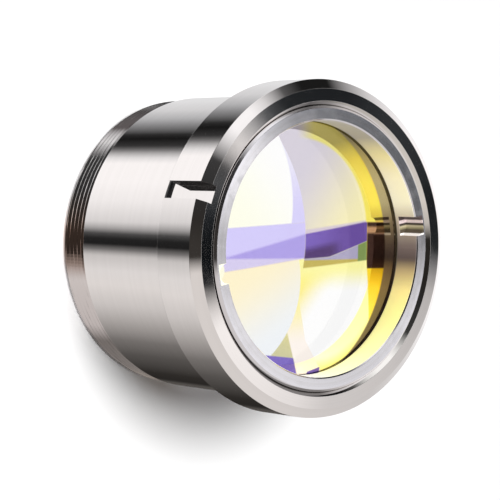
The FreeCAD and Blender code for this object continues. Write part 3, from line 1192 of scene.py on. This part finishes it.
# What the retaining ring's face mirrors, nearer to the middle of that window
RING_TONES = [
    (-180, shade(0.60)), (-170, shade(0.78)), (-155, shade(0.93)), (-130, shade(0.94)), (-105, shade(0.84)),
    (-80, shade(0.93)), (-35, shade(0.97)), (-20, shade(0.82)), (-10, shade(0.90)), (0, shade(0.54)),
    (10, shade(0.72)), (22, shade(1.0)), (50, shade(1.12)), (60, shade(0.92)), (70, shade(0.57, -0.03)),
    (82, shade(0.45, -0.05)), (110, shade(0.44, -0.05)), (135, shade(0.39, -0.05)),
    (160, shade(0.38, -0.05)), (174, shade(0.50)), (179, shade(0.59)),
]

# Middle of that window, and the two directions that its angles are counted in
WINDOW_MIDDLE = Vector((0.676, -0.026, 0.736)).normalized()
WINDOW_ACROSS = Vector((0, 1, 0)).cross(WINDOW_MIDDLE).normalized()
WINDOW_UP = WINDOW_MIDDLE.cross(WINDOW_ACROSS)

# Where one tone table gives way to the next. A spread is a distance from the window's middle,
# and a height is the z of a direction: both blend over the stated stretch
RING_SPREAD = (0.085, 0.110)
WINDOW_SPREAD = (0.38, 0.28)
WINDOW_HEIGHT = (0.2, 0.4)
WALL_HEIGHT = (-0.68, -0.58)

# Only rays of less depth than this show the tones: the walls' first, then all others. A ray has
# a depth of 2 after one mirror, so the walls' tones show in a second mirror too
MOST_BOUNCES = (3.5, 2.5)

FLOOR_WHITE = 0.98
FLOOR_ROUGHNESS = 0.9


def studio_world(studio):
    """White surroundings with soft boxes and dark gaps, which only polished metal shows."""
    world = bpy.data.worlds.new("studio")
    bpy.context.scene.world = world
    world.cycles.sampling_method = "NONE"
    world.use_nodes = True
    world.node_tree.nodes.clear()
    tree = Tree(world.node_tree)
    way = tree.node("ShaderNodeTexCoord").outputs["Generated"]
    x, y, z = tree.parts(way)

    def along(heading):
        made = tree.node("ShaderNodeVectorMath", {0: way, 1: tuple(heading)}, operation="DOT_PRODUCT")
        return made.outputs["Value"]

    wall = tree.by_angle(y, tree.math("MULTIPLY", x, -1), WALL_TONES)
    chamfer = tree.by_angle(y, x, CHAMFER_TONES)
    across = along(WINDOW_ACROSS)
    up = along(WINDOW_UP)
    left = tree.math("MULTIPLY", across, -1)
    spread = tree.length(across, up)
    window = tree.mix(tree.smooth(spread, *RING_SPREAD), tree.by_angle(up, left, RING_TONES),
                      tree.by_angle(up, left, FRONT_TONES))
    inside = tree.math("MULTIPLY", tree.smooth(spread, *WINDOW_SPREAD), tree.smooth(z, *WINDOW_HEIGHT))
    forward = tree.mix(inside, chamfer, window)
    pattern = tree.mix(tree.smooth(z, *WALL_HEIGHT), wall, forward)
    path = tree.node("ShaderNodeLightPath").outputs
    not_sharp = tree.math("SUBTRACT", 1, path["Is Singular Ray"])
    brushed = tree.math("MULTIPLY", path["Is Glossy Ray"], not_sharp)
    bounces = tree.smooth(z, *WALL_HEIGHT, *MOST_BOUNCES)
    direct = tree.math("MULTIPLY", brushed, tree.math("LESS_THAN", path["Ray Depth"], bounces))
    seen = tree.mix(direct, (1, 1, 1), pattern)
    seen = tree.mix(path["Is Diffuse Ray"], seen, (studio.shade_light,) * 3)
    background = tree.node("ShaderNodeBackground", {"Color": seen, "Strength": 1.0})
    output = tree.node("ShaderNodeOutputWorld")
    tree.feed(output.inputs["Surface"], background.outputs[0])


def hide_from_shine(made):
    """Keep an object out of what metal and glass show."""
    made.visible_glossy = False
    made.visible_transmission = False


def studio_floor(studio):
    """A pale floor that takes the shadow."""
    half = studio.floor_size / 2
    corners = [(-half, -half, 0), (half, -half, 0), (half, half, 0), (-half, half, 0)]
    mesh = bpy.data.meshes.new("floor")
    mesh.from_pydata(corners, [], [(0, 1, 2, 3)])
    floor = add_object("floor", mesh)
    _, shader, _ = new_material("pale_floor")
    shader.inputs["Base Color"].default_value = (FLOOR_WHITE,) * 3 + (1,)
    shader.inputs["Roughness"].default_value = FLOOR_ROUGHNESS
    shader.inputs["Specular IOR Level"].default_value = 0.0
    mesh.materials.append(bpy.data.materials["pale_floor"])
    hide_from_shine(floor)


def studio_light(studio):
    """The soft sun, which gives the shadow."""
    data = bpy.data.lights.new("soft_sun", "SUN")
    data.angle = studio.sun_spread
    data.energy = studio.sun_strength
    light = add_object("soft_sun", data)
    light.rotation_euler = Vector(studio.sun_from).to_track_quat("Z", "Y").to_euler()
    hide_from_shine(light)


def studio_camera(studio):
    """The camera, whose picture has the direction of +Y upwards before its roll."""
    data = bpy.data.cameras.new("camera")
    data.lens = studio.lens
    data.clip_start = MM
    camera = add_object("camera", data)
    back = Vector(studio.back).normalized()
    right = Vector((0, 1, 0)).cross(back).normalized()
    level = Matrix((right, back.cross(right), back)).transposed().to_4x4()
    turned = level @ Matrix.Rotation(studio.roll, 4, "Z")
    camera.matrix_world = Matrix.Translation(studio.location) @ turned
    bpy.context.scene.camera = camera


class LENSUNIT_OT_stage(Operator):
    """Set up the floor, the surroundings, the soft light and the camera"""
    bl_idname = "lens_unit.stage"
    bl_label = "Stage"

    def execute(self, context):
        studio = settings("lens_unit_studio")
        studio_world(studio)
        studio_floor(studio)
        studio_light(studio)
        studio_camera(studio)
        context.scene.view_settings.view_transform = "Standard"
        return {"FINISHED"}


class LENSUNIT_PT_panel(Panel):
    bl_label = "Lens unit"
    bl_idname = "LENSUNIT_PT_panel"
    bl_space_type = "VIEW_3D"
    bl_region_type = "UI"
    bl_category = "Lens unit"

    def draw(self, context):
        for group in GROUPS:
            box = self.layout.box()
            box.label(text=group.replace("lens_unit_", "").capitalize())
            values = getattr(context.scene, group)
            for key in values.__annotations__:
                box.prop(values, key)
        for step in STEPS:
            self.layout.operator(step.bl_idname)


STEPS = (
    LENSUNIT_OT_materials,
    LENSUNIT_OT_barrel,
    LENSUNIT_OT_thread,
    LENSUNIT_OT_retaining_ring,
    LENSUNIT_OT_front_lens,
    LENSUNIT_OT_rear_lens,
    LENSUNIT_OT_spacer_and_washers,
    LENSUNIT_OT_seal_ring,
    LENSUNIT_OT_stage,
)

GROUPS = {
    "lens_unit_barrel": BarrelSizes,
    "lens_unit_thread": ThreadSizes,
    "lens_unit_key_slot": KeySlotSizes,
    "lens_unit_ring": RingSizes,
    "lens_unit_lenses": LensSizes,
    "lens_unit_colours": UnitColours,
    "lens_unit_studio": StudioSettings,
}


def register():
    for group, kind in GROUPS.items():
        bpy.utils.register_class(kind)
        setattr(bpy.types.Scene, group, PointerProperty(type=kind))
    for step in STEPS:
        bpy.utils.register_class(step)
    bpy.utils.register_class(LENSUNIT_PT_panel)


def unregister():
    bpy.utils.unregister_class(LENSUNIT_PT_panel)
    for step in reversed(STEPS):
        bpy.utils.unregister_class(step)
    for group, kind in reversed(GROUPS.items()):
        delattr(bpy.types.Scene, group)
        bpy.utils.unregister_class(kind)


def main():
    register()
    for step in STEPS:
        group, name = step.bl_idname.split(".")
        getattr(getattr(bpy.ops, group), name)()


if __name__ == "__main__":
    main()
